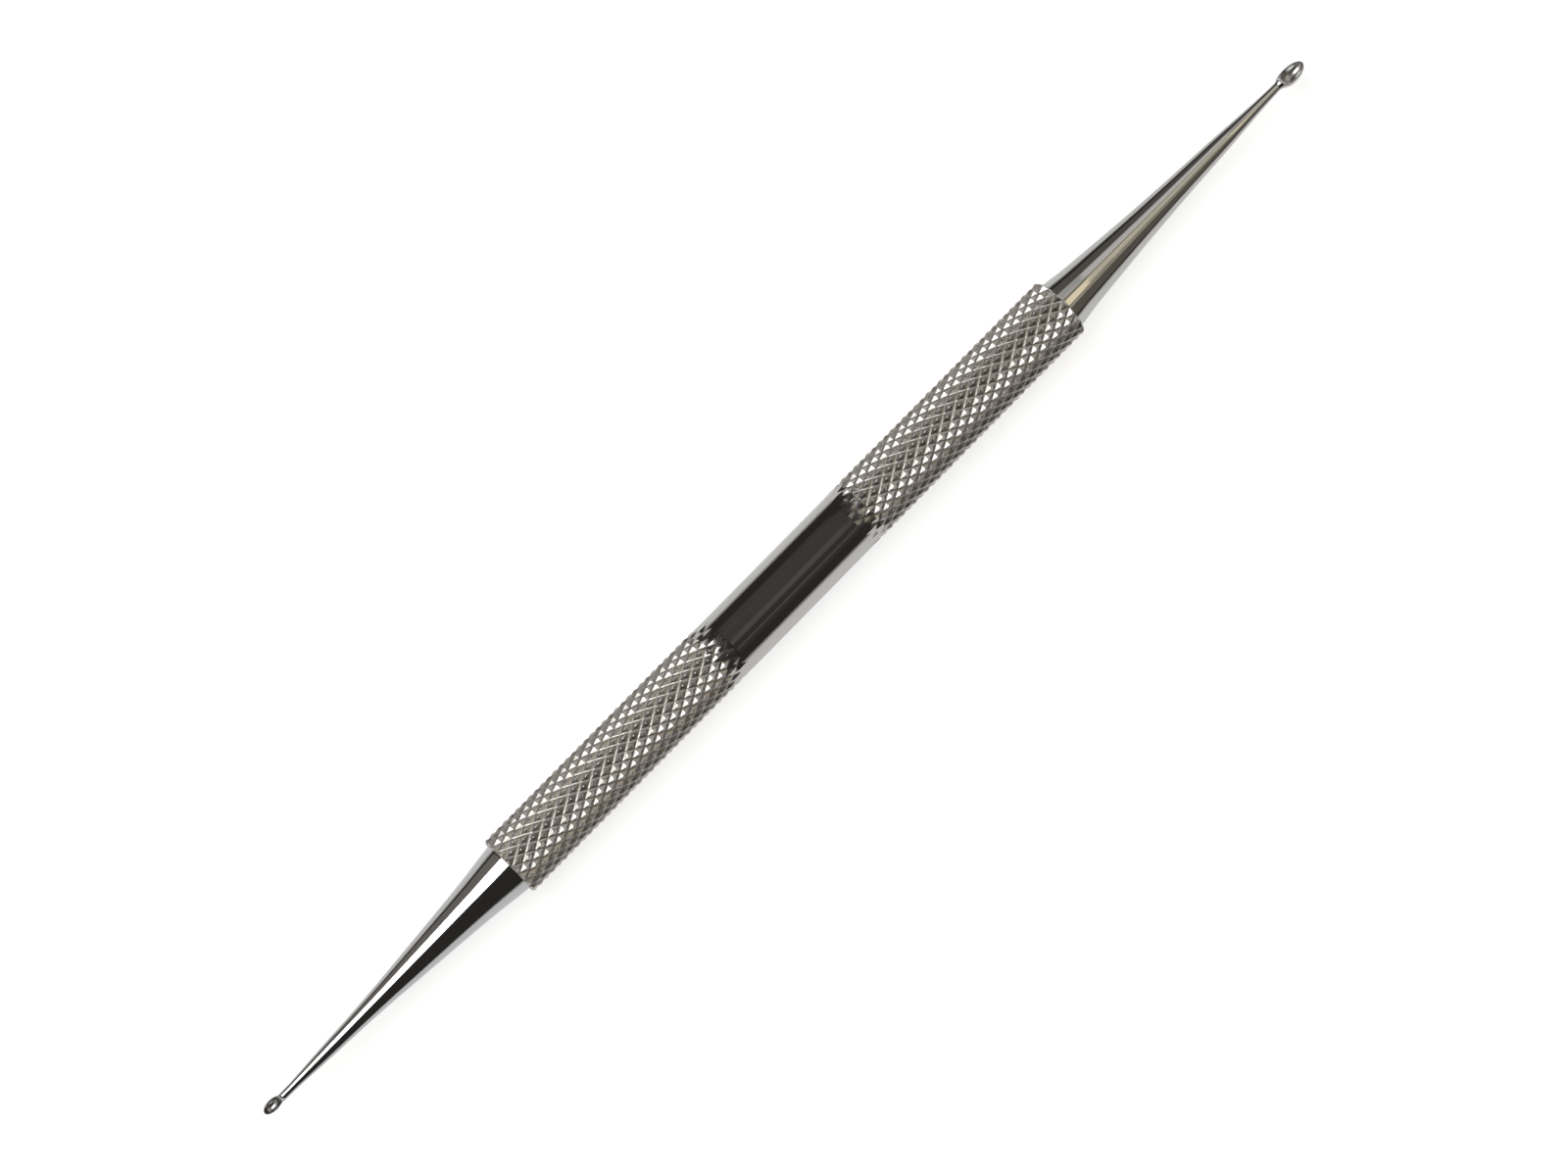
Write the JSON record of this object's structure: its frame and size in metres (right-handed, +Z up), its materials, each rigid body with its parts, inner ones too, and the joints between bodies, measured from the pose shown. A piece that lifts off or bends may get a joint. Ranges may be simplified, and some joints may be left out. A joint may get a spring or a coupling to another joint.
{
  "type": "ingrown toenail tool",
  "caption": "Slim steel nail curette for ingrown toenails: a hollow diamond-knurled handle with a plain waist and a tapered spoon end in each mouth, the cups larger at one end.",
  "frame": {"origin": "on the surface that the tool lies on, under the middle of its overall length and width", "axes": "+X along the tool from the small spoon to the large spoon, +Z up; both cups open upwards, the large one leaning towards +Y and the small one towards -Y"},
  "size_m": [0.14, 0.0066, 0.0066],
  "materials": {
    "handle_steel": "stainless steel, mirror-polished waist between two rolled diamond knurls",
    "large_end_steel": "stainless steel, turned and mirror-polished along its length",
    "small_end_steel": "stainless steel, turned and mirror-polished along its length"
  },
  "bodies": {
    "root": {"handle_tube": "handle_steel", "large_spoon_end": "large_end_steel", "small_spoon_end": "small_end_steel"}
  },
  "joints": []
}
